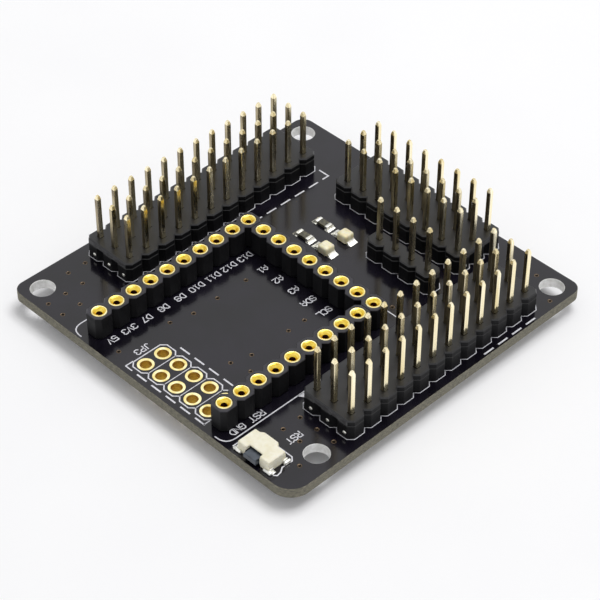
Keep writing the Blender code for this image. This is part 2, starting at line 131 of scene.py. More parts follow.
# Reset switch
RECESS = 0.55 * MM
BACK_TAB = 0.32 * MM            # the middle of the switch's back stands out
BACK_STEP = 0.12 * MM           # and its right end steps in
OPENING_SHIFT = 0.05 * MM       # the opening lies a little left of the middle
SWITCH_CORNER_R = 0.18 * MM
SWITCH_FLOOR = 0.24 * MM
SWITCH_WALL = 0.6 * MM
SWITCH_BACK_WALL = 0.45 * MM
PUSH_CLEAR = 0.08 * MM
PUSH_SET_BACK = 0.25 * MM       # the push piece's front, behind the CAD's
PUSH_DROP = 0.12 * MM           # and its top, under the CAD's
SHOULDER_GAP = 0.29 * MM        # from the recess to the push piece's shoulder
TAB_THICK = 0.15 * MM
LEG_WIDTH = 1.35 * MM

# Turned sockets
HEAD_R = 0.95 * MM
HEAD_H = 0.5 * MM
RIM_R = 0.78 * MM               # inner edge of the flat rim
FUNNEL_R = 0.6 * MM
BORE_R = 0.36 * MM
BARREL_R = 0.66 * MM
BARREL_H = 2.6 * MM
BORE_DEPTH = 2.1 * MM
FUNNEL_LIP = 0.1 * MM
FUNNEL_DEPTH = 0.36 * MM
TAIL_R = 0.25 * MM
TAIL_TIP = 0.3 * MM             # the tail's tip, above the pins' ends
TAIL_FULL = 0.4 * MM            # and where it reaches its full width
HEAD_CLEAR = 0.02 * MM
HEAD_BREAK = 0.07 * MM
SLACK = 0.01 * MM

# Print
INK_W = 0.15 * MM
INK_H = 0.012 * MM
TEXT_H = 0.8 * MM
TEXT_STROKE = 0.13 * MM
THIN_INK_W = 0.1 * MM
OUTLINE_GAP = 0.1 * MM          # from a housing to its printed outline
U_FRONT = 2.15 * MM             # the printed U's feet, in front of its last sockets
U_FOOT = 1.7 * MM
U_CORNER_R = 1.5 * MM
POINTER_HALF = 0.5 * MM
POINTER_H = 0.75 * MM
DASH = 1.35 * MM
DASH_GAP = 1.0 * MM
DASH_W = 0.2 * MM
DASHED_FRONT = 1.75 * MM        # the dashed box round the plated holes, from the last sockets
DASHED_REAR = 4.55 * MM
DASHED_SIDE = 1.35 * MM

# Camera and light
CAMERA_TARGET = Vector((1.73, -1.32, 3.0)) * MM
CAMERA_AZIMUTH = 45.268
CAMERA_ELEVATION = 41.642
CAMERA_ROLL = 0.253
CAMERA_DISTANCE = 242.8 * MM
CAMERA_LENS = 127.9
WORLD_FILL = 0.5
LAMP_PLACE = Vector((0.06, 0.24, 0.78))
LAMP_SIZE = (0.5, 0.4)
LAMP_POWER = 3.65
PAPER_GLOW = 0.075
PAPER_MIRROR_GLOW = 0.35
FLOOR_HALF = 3.0

scene = bpy.context.scene
scene.view_settings.view_transform = "Standard"


# Finishes

def linear(hex_color):
    """An sRGB hex colour as linear RGBA."""
    channels = [int(hex_color[i:i + 2], 16) / 255 for i in (1, 3, 5)]
    return (*[c / 12.92 if c <= 0.04045 else ((c + 0.055) / 1.055) ** 2.4 for c in channels], 1.0)


def add(tree, kind, inputs=None, **settings):
    """Add a node. Each input, by name or number, takes a value or another node's output."""
    made = tree.nodes.new(kind)
    for name, value in settings.items():
        setattr(made, name, value)
    for key, value in (inputs or {}).items():
        if isinstance(value, bpy.types.NodeSocket):
            tree.links.new(value, made.inputs[key])
        else:
            made.inputs[key].default_value = value
    return made


def per_mm(size):
    """Texture scale for features this many millimetres across."""
    return 1 / (size * MM)


def finish(name, tones, grain, roughness, relief, metallic=0.0, stretch=(1, 1, 1), **sockets):
    """A surface whose colour and gloss wander between two values over a grain, with a fine relief.

    grain is in mm. roughness is (low, high). relief is (depth, size), both in mm.
    """
    made = bpy.data.materials.new(name)
    made.use_nodes = True
    tree = made.node_tree
    shader = tree.nodes["Principled BSDF"]
    shader.inputs["Metallic"].default_value = metallic
    for key, value in sockets.items():
        shader.inputs[key.replace("_", " ")].default_value = value
    place = add(tree, "ShaderNodeTexCoord").outputs["Object"]
    place = add(tree, "ShaderNodeMapping", {"Vector": place, "Scale": stretch}).outputs["Vector"]
    cloud = add(tree, "ShaderNodeTexNoise", {"Vector": place, "Scale": per_mm(grain), "Detail": 4.0})
    spread = add(tree, "ShaderNodeMapRange", {
        "Value": cloud.outputs["Fac"], "From Min": 0.35, "From Max": 0.65,
    }, clamp=True).outputs["Result"]
    tone = add(tree, "ShaderNodeMix", {0: spread, 6: linear(tones[0]), 7: linear(tones[1])},
               data_type="RGBA")
    gloss = add(tree, "ShaderNodeMapRange", {
        "Value": spread, "To Min": roughness[0], "To Max": roughness[1],
    }).outputs["Result"]
    bumps = add(tree, "ShaderNodeTexNoise",
                {"Vector": place, "Scale": per_mm(relief[1]), "Detail": 3.0})
    bump = add(tree, "ShaderNodeBump", {"Height": bumps.outputs["Fac"], "Distance": relief[0] * MM})
    tree.links.new(tone.outputs[2], shader.inputs["Base Color"])
    tree.links.new(gloss, shader.inputs["Roughness"])
    tree.links.new(bump.outputs["Normal"], shader.inputs["Normal"])
    made.diffuse_color = linear(tones[1])
    return made


def solder_mask():
    """Black epoxy solder mask: glossy enough to mirror the sockets, the glass weave faint."""
    made = finish("black_solder_mask", ("#0c0a12", "#15121d"), 5.0, (0.13, 0.2), (0.0015, 0.3))
    tree = made.node_tree
    shader = tree.nodes["Principled BSDF"]
    place = add(tree, "ShaderNodeTexCoord").outputs["Object"]
    waves = [
        add(tree, "ShaderNodeTexWave", {"Vector": place, "Scale": per_mm(0.6) / 3, "Distortion": 0.6},
            bands_direction=axis).outputs["Fac"]
        for axis in ("X", "Y")
    ]
    weave = add(tree, "ShaderNodeMath", {0: waves[0], 1: waves[1]}, operation="MULTIPLY").outputs[0]
    under = shader.inputs["Normal"].links[0].from_socket
    bump = add(tree, "ShaderNodeBump", {"Height": weave, "Distance": 0.001 * MM, "Normal": under})
    tree.links.new(bump.outputs["Normal"], shader.inputs["Normal"])
    return made


def cut_laminate():
    """Sawn and routed glass-epoxy laminate: matt, olive grey, with layers of cloth running along."""
    return finish("cut_glass_laminate", ("#57554a", "#8a8676"), 0.4, (0.75, 0.9), (0.03, 0.2),
                  stretch=(1, 1, 5))


def header_nylon():
    """Moulded black glass-filled nylon: satin, with a fine spark-eroded texture."""
    return finish("black_moulded_nylon", ("#0d0d10", "#151519"), 1.8, (0.3, 0.42), (0.005, 0.14))


def strip_nylon():
    """Moulded black polyester of the socket strips: a little smoother and more purple."""
    return finish("black_moulded_polyester", ("#1b1a21", "#2a2831"), 1.5, (0.26, 0.38), (0.004, 0.16))


def side_shade_finish():
    """Side walls of the black mouldings: their darker tone is painted shade, with a coarser, duller
    texture that swallows reflections.
    """
    return finish("painted_shade_side_moulding", ("#060608", "#0d0d10"), 1.2, (0.5, 0.65), (0.008, 0.16),
                  Specular_IOR_Level=0.22)


def rib_end_highlight_nylon():
    """Ends of a header's rib, where the block was snapped off: a dull grey band along the top of each
    short end, a painted highlight.
    """
    return finish("black_nylon_painted_highlight", ("#3c3c3e", "#58585a"), 0.5, (0.5, 0.7), (0.02, 0.2))


def pin_gold_brass():
    """The pins' gold-flashed brass on all but their faces towards +Y and -Y: bright, pale, with drawing
    lines.
    """
    return finish("gold_flashed_pin_brass", ("#d9c99a", "#f6eed2"), 0.7, (0.16, 0.28), (0.003, 0.1),
                  metallic=1.0, stretch=(1, 1, 0.08))


def pin_brass_painted_shade():
    """The pins' faces towards +Y and -Y: the same brass painted greyer and darker as shade, with fine
    lines along.
    """
    return finish("pin_brass_painted_shade", ("#6d6350", "#b3a789"), 0.6, (0.24, 0.36), (0.008, 0.12),
                  metallic=1.0, stretch=(1, 1, 0.15))


def contact_gold():
    """Turned brass with bright gold plating: fine turning rings, deep yellow."""
    return finish("bright_gold_plate", ("#dcb638", "#f4da68"), 0.6, (0.16, 0.28), (0.003, 0.06),
                  metallic=1.0, stretch=(1, 1, 4))


def bore_shade_bronze():
    """The spring clip deep in a turned contact: dull brown, darkened as painted shade down the bore."""
    return finish("painted_shade_bore_bronze", ("#3a1a0e", "#6b3722"), 0.4, (0.45, 0.6), (0.01, 0.1),
                  metallic=0.6)


def pad_gold_and_rim_highlight():
    """Immersion gold on copper: flat, slightly matt, pale and warm; on the contacts' rims the same pale
    gold is a painted highlight.
    """
    return finish("immersion_gold_and_rim_highlight", ("#f4df8a", "#fff7c8"), 0.8, (0.26, 0.42), (0.004, 0.12),
                  metallic=1.0)


def shaded_barrel_gold():
    """Gold plating down a drilled hole: rough from the drill, painted a darker amber as the shade and
    reflections down the hole.
    """
    return finish("drilled_hole_gold_painted_shade", ("#b58a2c", "#dab04a"), 0.4, (0.35, 0.5), (0.01, 0.12),
                  metallic=1.0, stretch=(1, 1, 3))


def masked_copper():
    """Copper under a thin film of mask: brown, semi-gloss, a little metallic."""
    return finish("masked_copper", ("#33291f", "#76624c"), 0.25, (0.25, 0.4), (0.004, 0.1),
                  metallic=0.6)


def tin_with_painted_light():
    """Electroplated tin in the mounting holes: satin, its pale tone raised to near white as painted
    light on the hole walls.
    """
    return finish("satin_tin_painted_light", ("#e2e2df", "#ffffff"), 0.7, (0.4, 0.55), (0.006, 0.2),
                  metallic=0.2)


def solder_tin():
    """Reflowed tin solder: bright and uneven, with a grey bloom."""
    return finish("reflowed_solder", ("#cfcfc9", "#f6f5ee"), 0.4, (0.26, 0.46), (0.03, 0.3),
                  metallic=0.85)


def ivory_nylon():
    """Moulded ivory heat-resistant nylon: satin, faintly translucent."""
    return finish("ivory_moulded_nylon", ("#eee8cd", "#f8f4e2"), 0.9, (0.38, 0.5), (0.006, 0.15),
                  Subsurface_Weight=0.08, Subsurface_Radius=(0.0006, 0.0005, 0.0003))


def plunger_nylon():
    """Moulded slate-grey nylon of the push piece: satin."""
    return finish("slate_moulded_nylon", ("#343a42", "#4a525c"), 0.8, (0.4, 0.52), (0.006, 0.12))


def spring_steel():
    """Rolled stainless strip: bright, with rolling lines."""
    return finish("rolled_spring_steel", ("#a9abad", "#cfd1d2"), 0.5, (0.22, 0.34), (0.003, 0.08),
                  metallic=1.0, stretch=(0.15, 1, 1))


def led_epoxy():
    """Cast epoxy over a pale yellow phosphor: waxy, softly translucent."""
    return finish("phosphor_epoxy", ("#efe3b4", "#fff8dc"), 0.7, (0.3, 0.42), (0.02, 0.3),
                  Subsurface_Weight=0.25, Subsurface_Radius=(0.0005, 0.0004, 0.0002))


def led_laminate():
    """White resin laminate under the light: matt."""
    return finish("white_resin_laminate", ("#dcd9cc", "#f1efe6"), 0.5, (0.5, 0.65), (0.006, 0.12))


def resistor_glaze():
    """Glass glaze over a fired resistor: dark olive, glossy."""
    return finish("dark_glass_glaze", ("#33322a", "#686450"), 0.3, (0.3, 0.45), (0.01, 0.15))


def board_ink():
    """Screen-printed white epoxy ink: matt, thin at its edges, with a few pinholes."""
    return finish("white_print_ink", ("#c9c9d2", "#f0f0f4"), 0.22, (0.6, 0.75), (0.004, 0.1))


MASK = solder_mask()
LAMINATE = cut_laminate()
NYLON = header_nylon()
STRIP = strip_nylon()
SIDE_SHADE = side_shade_finish()
RIB_END_HIGHLIGHT = rib_end_highlight_nylon()
PIN_GOLD = pin_gold_brass()
PIN_SIDE_SHADE = pin_brass_painted_shade()
GOLD = contact_gold()
BORE_SHADE = bore_shade_bronze()
PAD_AND_RIM_HIGHLIGHT = pad_gold_and_rim_highlight()
HOLE_SHADE_GOLD = shaded_barrel_gold()
SOLDER = solder_tin()
BRONZE = masked_copper()
TIN = tin_with_painted_light()
IVORY = ivory_nylon()
SLATE = plunger_nylon()
STEEL = spring_steel()
EPOXY = led_epoxy()
WHITE = led_laminate()
GLAZE = resistor_glaze()
INK = board_ink()


# Shapes

def mark_faces(shape, chosen):
    """Give the chosen faces the second finish."""
    for face in shape.faces:
        face.normal_update()
        if chosen(face):
            face.material_index = 1


def is_side(face):
    return abs(face.normal.z) < UPRIGHT


def piece(name, shape, finishes, body, nodes=(), smooth=None):
    """Turn a shape into an object that rides on a body and stands for these CAD nodes."""
    bmesh.ops.recalc_face_normals(shape, faces=shape.faces)
    mesh = bpy.data.meshes.new(name)
    shape.to_mesh(mesh)
    shape.free()
    for each in finishes:
        mesh.materials.append(each)
    if smooth:
        mesh.shade_smooth()
        mesh.set_sharp_from_angle(angle=math.radians(smooth))
    made = bpy.data.objects.new(name, mesh)
    scene.collection.objects.link(made)
    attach(made, body)
    if nodes:
        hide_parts(*nodes)
    return made


def circle(radius, sides, center=(0.0, 0.0), turn=0.0):
    angles = [turn + math.tau * i / sides for i in range(sides)]
    return [(center[0] + radius * math.cos(a), center[1] + radius * math.sin(a)) for a in angles]


def rectangle(x0, y0, x1, y1):
    return [(x0, y0), (x1, y0), (x1, y1), (x0, y1)]


def inset(outline, distance):
    """An anticlockwise outline moved inwards, with mitred corners."""
    moved = []
    for i, here in enumerate(outline):
        before = (Vector(here) - Vector(outline[i - 1])).normalized()
        after = (Vector(outline[(i + 1) % len(outline)]) - Vector(here)).normalized()
        inward = Vector((-before.y - after.y, before.x + after.x))
        moved.append(tuple(Vector(here) + inward * 2 * distance / inward.length_squared))
    return moved


def cut_corners(outline, cut):
    """A rectangle with its corners cut off."""
    cornered = []
    for i, here in enumerate(outline):
        here = Vector(here)
        for beside in (outline[i - 1], outline[(i + 1) % len(outline)]):
            cornered.append(here + (Vector(beside) - here).normalized() * cut)
    return [tuple(p) for p in cornered]


def add_flat_face(shape, loops, height):
    """Add a flat face at this height. The first loop is its outline, and the rest are holes."""
    curve = bpy.data.curves.new("flat_face", "CURVE")
    curve.dimensions = "2D"
    curve.fill_mode = "FRONT"
    for loop in loops:
        spline = curve.splines.new("POLY")
        spline.points.add(len(loop) - 1)
        for point, (x, y) in zip(spline.points, loop):
            point.co = (x, y, 0.0, 1.0)
        spline.use_cyclic_u = True
    carrier = bpy.data.objects.new("flat_face", curve)
    scene.collection.objects.link(carrier)
    graph = bpy.context.evaluated_depsgraph_get()
    graph.update()
    filled = bpy.data.meshes.new_from_object(carrier.evaluated_get(graph))
    filled.transform(Matrix.Translation((0.0, 0.0, height)))
    shape.from_mesh(filled)
    bpy.data.meshes.remove(filled)
    bpy.data.objects.remove(carrier, do_unlink=True)
    bpy.data.curves.remove(curve)


def ring(shape, outline, height):
    return [shape.verts.new((x, y, height)) for x, y in outline]


def join_rings(shape, lower, upper):
    for i in range(len(lower)):
        j = (i + 1) % len(lower)
        shape.faces.new((lower[i], lower[j], upper[j], upper[i]))


def add_walls(shape, levels):
    """Walls through outlines of as many points, each at its own height."""
    rings = [ring(shape, outline, height) for outline, height in levels]
    for lower, upper in zip(rings, rings[1:]):
        join_rings(shape, lower, upper)
    return rings


def add_stack(shape, levels):
    """Walls, closed at both ends."""
    rings = add_walls(shape, levels)
    shape.faces.new(rings[0])
    shape.faces.new(rings[-1])


def add_plate(shape, outline, holes, z0, z1, edge):
    """A plate with holes right through, its outer edges broken."""
    small = inset(outline, edge)
    add_flat_face(shape, [small, *holes], z0)
    add_flat_face(shape, [small, *holes], z1)
    add_walls(shape, [(small, z0), (outline, z0 + edge), (outline, z1 - edge), (small, z1)])
    for hole in holes:
        add_walls(shape, [(hole, z0), (hole, z1)])
    bmesh.ops.remove_doubles(shape, verts=shape.verts, dist=1e-7)


def add_turned(shape, center, profile, sides):
    """A turned solid or ring round an upright axis, through points (radius, height)."""
    closed = profile[0][0] > 0.0
    rings = []
    for radius, height in profile:
        if radius > 0.0:
            rings.append(ring(shape, circle(radius, sides, center), height))
        else:
            rings.append([shape.verts.new((center[0], center[1], height))])
    pairs = list(zip(rings, rings[1:]))
    if closed:
        pairs.append((rings[-1], rings[0]))
    for lower, upper in pairs:
        if len(lower) > 1 and len(upper) > 1:
            join_rings(shape, lower, upper)
        else:
            tip, base = (lower, upper) if len(lower) == 1 else (upper, lower)
            for i in range(sides):
                shape.faces.new((base[i], base[(i + 1) % sides], tip[0]))


def add_block(shape, low, high, round_by, steps=2):
    """A box with rounded edges."""
    corners = bmesh.ops.create_cube(shape, size=1.0)["verts"]
    low, high = Vector(low), Vector(high)
    bmesh.ops.scale(shape, vec=high - low, verts=corners)
    bmesh.ops.translate(shape, vec=(high + low) / 2, verts=corners)
    edges = list({e for v in corners for e in v.link_edges})
    bmesh.ops.bevel(shape, geom=edges, offset=round_by, segments=steps, affect="EDGES", profile=0.5)


def add_line(shape, points, width, low, high):
    """A printed line with square ends, mitred at its corners."""
    points = [Vector(p) for p in points]
    loop = (points[0] - points[-1]).length < 1e-7
    if loop:
        points = points[:-1]
    sides = ([], [])
    count = len(points)
    for i, here in enumerate(points):
        before = points[i - 1] if loop or i > 0 else None
        after = points[(i + 1) % count] if loop or i < count - 1 else None
        into = (here - before).normalized() if before else (after - here).normalized()
        out = (after - here).normalized() if after else into
        across = Vector((-into.y - out.y, into.x + out.x))
        across = across / max(across.length_squared, 1.0)
        for side, sign in zip(sides, (1, -1)):
            side.append(here + across * width * sign)
        if before is None:
            for side in sides:
                side[-1] -= out * width / 2
        if after is None:
            for side in sides:
                side[-1] += into * width / 2
    rings = []
    for height in (low, high):
        rings.append([[shape.verts.new((p.x, p.y, height)) for p in side] for side in sides])
    last = count if loop else count - 1
    for i in range(last):
        j = (i + 1) % count
        (left0, right0), (left1, right1) = rings
        shape.faces.new((left0[i], left0[j], right0[j], right0[i]))
        shape.faces.new((left1[i], left1[j], right1[j], right1[i]))
        shape.faces.new((left0[i], left0[j], left1[j], left1[i]))
        shape.faces.new((right0[i], right0[j], right1[j], right1[i]))
    if not loop:
        for i in (0, count - 1):
            (left0, right0), (left1, right1) = rings
            shape.faces.new((left0[i], right0[i], right1[i], left1[i]))


# Places, from the frame's boxes

def cells(node):
    """The grid lines in X and in Y of a block of cells."""
    low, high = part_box(node)
    lines = []
    for axis in (0, 1):
        count = round((high[axis] - low[axis]) / PITCH)
        start = (low[axis] + high[axis] - (count - 1) * PITCH) / 2
        lines.append([start + PITCH * i for i in range(count)])
    return lines


def middle(node):
    low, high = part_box(node)
    return ((low[0] + high[0]) / 2, (low[1] + high[1]) / 2)


def grid(lines):
    return [(x, y) for x in lines[0] for y in lines[1]]


HEADERS = {name: cells(name) for name in ("left_header", "right_header", "rear_header")}
SMALL_HEADER = cells("small_header_housing")
SOCKETS = [f"socket_contact_{i:02d}" for i in range(1, 28)]
SOCKET_PLACES = [middle(name) for name in SOCKETS]
STRIPS = ("socket_strip_left", "socket_strip_cross", "socket_strip_right")
HOUSING_LOW, HOUSING_HIGH = (corner[2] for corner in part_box("small_header_housing"))
PIN_BOTTOM, PIN_TOP = (corner[2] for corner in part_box("small_header_pin_1"))
STRIP_LOW, STRIP_HIGH = (corner[2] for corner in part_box("socket_strip_left"))
ARM_X = SOCKET_PLACES[-1][0]
SPAN_Y = SOCKET_PLACES[0][1]
FRONT_SOCKET_Y = SOCKET_PLACES[-1][1]
PLATED_PLACES = [
    (ARM_X - PITCH * i, FRONT_SOCKET_Y + PITCH * j) for i in range(1, 6) for j in range(2)
]
SWITCH_LOW, SWITCH_HIGH = (Vector(corner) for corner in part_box("switch_base"))
COVER_LOW, COVER_HIGH = (Vector(corner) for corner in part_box("switch_cover"))


def mounting_holes():
    left = BOARD_LOW.x + MOUNT_INSET
    right = BOARD_HIGH.x - MOUNT_INSET
    front = BOARD_LOW.y + MOUNT_INSET
    back = BOARD_HIGH.y - MOUNT_INSET
    return [(left, front), (left, back), (right, back), (right, BOARD_LOW.y + SWITCH_HOLE_INSET)]


def on_grid(column, row):
    """A place counted in pitches from the U's left rear socket."""
    return (SOCKET_PLACES[0][0] + column * PITCH, SPAN_Y + row * PITCH)


VIAS = [on_grid(column, row) for column, row in (
    (10, -6.5), (10, -7.5), (11, -7.5), (12, -8.5), (11, -6.5), (12, -6.5),
    (-4, -7.5), (-3, -7.5), (-3, -8.5), (-2, -8.5), (-4, -6.5),
    (-3, -9.5), (-2, -9.5), (1.56, -9.3), (11, 7.6), (12.56, 6.7),
    (2, -2.07), (2, -3.83), (2, -5.28), (1.73, -6.45), (5.78, -2.07),
    (5.78, -3.06), (5.77, -5.3), (5.5, -6.3), (6.5, -6.05), (2.9, 5.1),
    (1.2, 3.4), (6.6, 3.2), (4.3, 6.4), (7.9, 1.35),
)]


# Circuit board

def board_outline():
    corners = [
        (BOARD_LOW.x, BOARD_LOW.y, CORNER_R, math.pi),
        (BOARD_HIGH.x, BOARD_LOW.y, FRONT_CORNER_R, 1.5 * math.pi),
        (BOARD_HIGH.x, BOARD_HIGH.y, CORNER_R, 0.0),
        (BOARD_LOW.x, BOARD_HIGH.y, CORNER_R, 0.5 * math.pi),
    ]
    outline = []
    for cx, cy, radius, start in corners:
        mx = cx - math.copysign(radius, cx)
        my = cy - math.copysign(radius, cy)
        for i in range(CORNER_STEPS + 1):
            angle = start + math.pi / 2 * i / CORNER_STEPS
            outline.append((mx + radius * math.cos(angle), my + radius * math.sin(angle)))
    return outline


def all_pins():
    return [p for lines in (*HEADERS.values(), SMALL_HEADER) for p in grid(lines)]


def make_board():
    holes = [circle(MOUNT_HOLE_R, MOUNT_HOLE_SIDES, p) for p in mounting_holes()]
    holes += [circle(PIN_HOLE_R, PIN_HOLE_SIDES, p) for p in all_pins()]
    holes += [circle(TAIL_HOLE_R, PIN_HOLE_SIDES, p) for p in SOCKET_PLACES]
    holes += [circle(PLATED_HOLE_R + PLATING, PLATED_HOLE_SIDES, p) for p in PLATED_PLACES]
    holes += [circle(VIA_HOLE_R, VIA_HOLE_SIDES, p) for p in VIAS]
    shape = bmesh.new()
    add_plate(shape, board_outline(), holes, BOARD_LOW.z, BOARD_HIGH.z, EDGE_BREAK)
    mark_faces(shape, lambda face: abs(face.normal.z) <= FLAT)
    piece("board_laminate", shape, [MASK, LAMINATE], "board",
          ["circuit_board"], 30)


def make_plated_holes():
    """Gold-plated through holes with a ring on each face."""
    low = BOARD_LOW.z - COPPER
    high = BOARD_HIGH.z + COPPER
    step = 0.04 * MM
    profile = [
        (PLATED_PAD_R, low), (PLATED_PAD_R, BOARD_LOW.z), (PLATED_HOLE_R + PLATING, BOARD_LOW.z),
        (PLATED_HOLE_R + PLATING, BOARD_HIGH.z), (PLATED_PAD_R, BOARD_HIGH.z), (PLATED_PAD_R, high),
        (PLATED_HOLE_R + step, high), (PLATED_HOLE_R, high - step), (PLATED_HOLE_R, low + step),
        (PLATED_HOLE_R + step, low),
    ]
    shape = bmesh.new()
    for place in PLATED_PLACES:
        add_turned(shape, place, profile, TURNED_SIDES)
    # Upright faces below the top pad take the darker amber, painted shade.
    mark_faces(shape, lambda face: is_side(face)
               and abs(face.calc_center_median().z - BOARD_HIGH.z) > COPPER)
    piece("plated_holes", shape, [PAD_AND_RIM_HIGHLIGHT, HOLE_SHADE_GOLD], "board", smooth=40)


def make_vias():
    """Small plated holes that join the copper layers. Their rings shine brown through the mask."""
    shape = bmesh.new()
    top = BOARD_HIGH.z + COPPER
    for place in VIAS:
        add_turned(shape, place, [
            (VIA_PAD_R, BOARD_HIGH.z), (VIA_PAD_R * 0.92, top), (VIA_HOLE_R * 1.25, top),
            (VIA_HOLE_R * 0.95, top - 0.03 * MM), (VIA_HOLE_R * 0.95, BOARD_LOW.z),
            (VIA_HOLE_R, BOARD_LOW.z),
        ], VIA_RING_SIDES)
    piece("via_rings", shape, [BRONZE], "board", smooth=40)


def make_hole_linings():
    """Tinned linings of the four mounting holes."""
    shape = bmesh.new()
    inner = MOUNT_HOLE_R - PLATING
    for place in mounting_holes():
        add_turned(shape, place, [
            (MOUNT_HOLE_R, BOARD_LOW.z + LINING_SUNK), (MOUNT_HOLE_R, BOARD_HIGH.z - LINING_SUNK),
            (inner, BOARD_HIGH.z - EDGE_BREAK), (inner, BOARD_LOW.z + EDGE_BREAK),
        ], MOUNT_HOLE_SIDES)
    # Near-white tin: painted light on the hole walls.
    piece("mounting_hole_linings", shape, [TIN], "board", smooth=40)


def make_solder():
    """Solder cones round every pin and tail under the board."""
    shape = bmesh.new()
    base = BOARD_LOW.z - SLACK
    for places, cone in ((all_pins(), PIN_SOLDER), (SOCKET_PLACES, TAIL_SOLDER)):
        profile = [(radius * MM, base - depth * MM) for radius, depth in cone]
        for place in places:
            add_turned(shape, place, profile, SOLDER_SIDES)
    piece("solder_joints", shape, [SOLDER], "board", smooth=50)


# Headers

def notched_side(places, chamfer, notched):
    """One side of a block of cells, as (along, inward) pairs, with or without its V notches."""
    side = PITCH / 2 - CELL_CLEAR - chamfer
    if not notched:
        return [(places[0] - side, 0.0), (places[-1] + side, 0.0)]
    points = []
    for place in places:
        points += [(place - side, 0.0), (place + side, 0.0)]
        if place != places[-1]:
            points.append((place + PITCH / 2, chamfer))
    return points


def cells_outline(lines, chamfer, all_round=False):
    """Outline of a block of cells. Its long sides, or all four, have a V notch between neighbours."""
    xs, ys = lines
    half = PITCH / 2 - CELL_CLEAR
    along_x = notched_side(xs, chamfer, all_round or len(xs) > len(ys))
    along_y = notched_side(ys, chamfer, all_round or len(ys) > len(xs))
    front = [(x, ys[0] - half + depth) for x, depth in along_x]
    right = [(xs[-1] + half - depth, y) for y, depth in along_y]
    back = [(x, ys[-1] + half - depth) for x, depth in reversed(along_x)]
    left = [(xs[0] - half + depth, y) for y, depth in reversed(along_y)]
    return front + right + back + left


def pin_outline(place, half):
    """A square with broken corners."""
    x, y = place
    cut = half * PIN_CORNER / PIN_HALF
    near = half - cut
    return [
        (x - near, y - half), (x + near, y - half), (x + half, y - near), (x + half, y + near),
        (x + near, y + half), (x - near, y + half), (x - half, y + near), (x - half, y - near),
    ]


def add_pin(shape, place):
    """A square pin with tapered ends. Its faces towards +Y and -Y take the darker brass, painted shade.
    """
    before = len(shape.faces)
    add_stack(shape, [
        (pin_outline(place, PIN_TIP_HALF), PIN_BOTTOM),
        (pin_outline(place, PIN_HALF), PIN_BOTTOM + PIN_TIP_H),
        (pin_outline(place, PIN_HALF), PIN_TOP - PIN_TIP_H),
        (pin_outline(place, PIN_TIP_HALF), PIN_TOP),
    ])
    shape.faces.ensure_lookup_table()
    for face in shape.faces[before:]:
        face.normal_update()
        # Faces square on to Y get the painted-shade brass.
        if abs(face.normal.y) > SQUARE_ON:
            face.material_index = 1


def make_housing(name, lines, nodes):
    """A housing. Where it has three rows, a rib along its top makes the short ends straight."""
    slots = [rectangle(x - PIN_HALF - PIN_SLOT, y - PIN_HALF - PIN_SLOT,
                       x + PIN_HALF + PIN_SLOT, y + PIN_HALF + PIN_SLOT) for x, y in grid(lines)]
    rib_z = HOUSING_HIGH - RIB_H
    shape = bmesh.new()
    cells_part = cells_outline(lines, CELL_CHAMFER, all_round=True)
    add_plate(shape, cells_part, slots, HOUSING_LOW, rib_z, EDGE_BREAK)
    rib_part = cells_outline(lines, CELL_CHAMFER)
    add_plate(shape, rib_part, slots, rib_z - EDGE_BREAK, HOUSING_HIGH, HOUSING_EDGE)
    # Upright sides take the darker side finish, painted shade.
    mark_faces(shape, is_side)
    xs, ys = lines
    across, ends = (0, xs) if len(xs) > len(ys) else (1, ys)
    middle_line = (ends[0] + ends[-1]) / 2
    reach = (ends[-1] - ends[0]) / 2 + PITCH / 2 - CELL_CLEAR - SLACK
    # The rib's short ends take the grey band, a painted highlight.
    for face in shape.faces:
        center = face.calc_center_median()
        if is_side(face) and center.z > rib_z and abs(center[across] - middle_line) > reach:
            face.material_index = 2
    piece(name, shape, [NYLON, SIDE_SHADE, RIB_END_HIGHLIGHT], "board", nodes)


def make_painted_highlight_dots(name, lines):
    """Bright domes on the ends of the moulding's cross bars, where the block was parted from a longer
    one: their bright tin is a painted highlight for the glints on the bulging cell ends.
    """
    xs, ys = lines
    if len(xs) > len(ys):
        ends = [(x, y, 0) for x in (xs[0] - PITCH / 2, xs[-1] + PITCH / 2) for y in ys]
    else:
        ends = [(x, y, 1) for y in (ys[0] - PITCH / 2, ys[-1] + PITCH / 2) for x in xs]
    shape = bmesh.new()
    for x, y, axis in ends:
        made = bmesh.ops.create_uvsphere(shape, u_segments=14, v_segments=8, radius=HIGHLIGHT_DOT_R)["verts"]
        flat = [1.0, 1.0, HIGHLIGHT_DOT_HEIGHT]
        flat[axis] = HIGHLIGHT_DOT_DEPTH
        bmesh.ops.scale(shape, vec=flat, verts=made)
        offset = HIGHLIGHT_DOT_SIDE if axis == 1 else 0.0
        bmesh.ops.translate(shape, vec=(x + offset, y, BOARD_HIGH.z + HIGHLIGHT_DOT_Z), verts=made)
    # The bright solder finish here is a painted highlight.
    piece(name, shape, [SOLDER], "board", smooth=60)


def make_headers():
    for node, lines in HEADERS.items():
        make_housing(f"{node}_housing", lines, [node])
        make_painted_highlight_dots(f"{node}_painted_highlight_dots", lines)
        shape = bmesh.new()
        for place in grid(lines):
            add_pin(shape, place)
        piece(f"{node}_pins", shape, [PIN_GOLD, PIN_SIDE_SHADE], "board", [node])
    make_housing("small_header_block", SMALL_HEADER, ["small_header_housing"])
    for i, place in enumerate(grid(SMALL_HEADER), 1):
        shape = bmesh.new()
        add_pin(shape, place)
        piece(f"small_header_square_pin_{i}", shape, [PIN_GOLD, PIN_SIDE_SHADE], "board",
              [f"small_header_pin_{i}"])


# Sockets

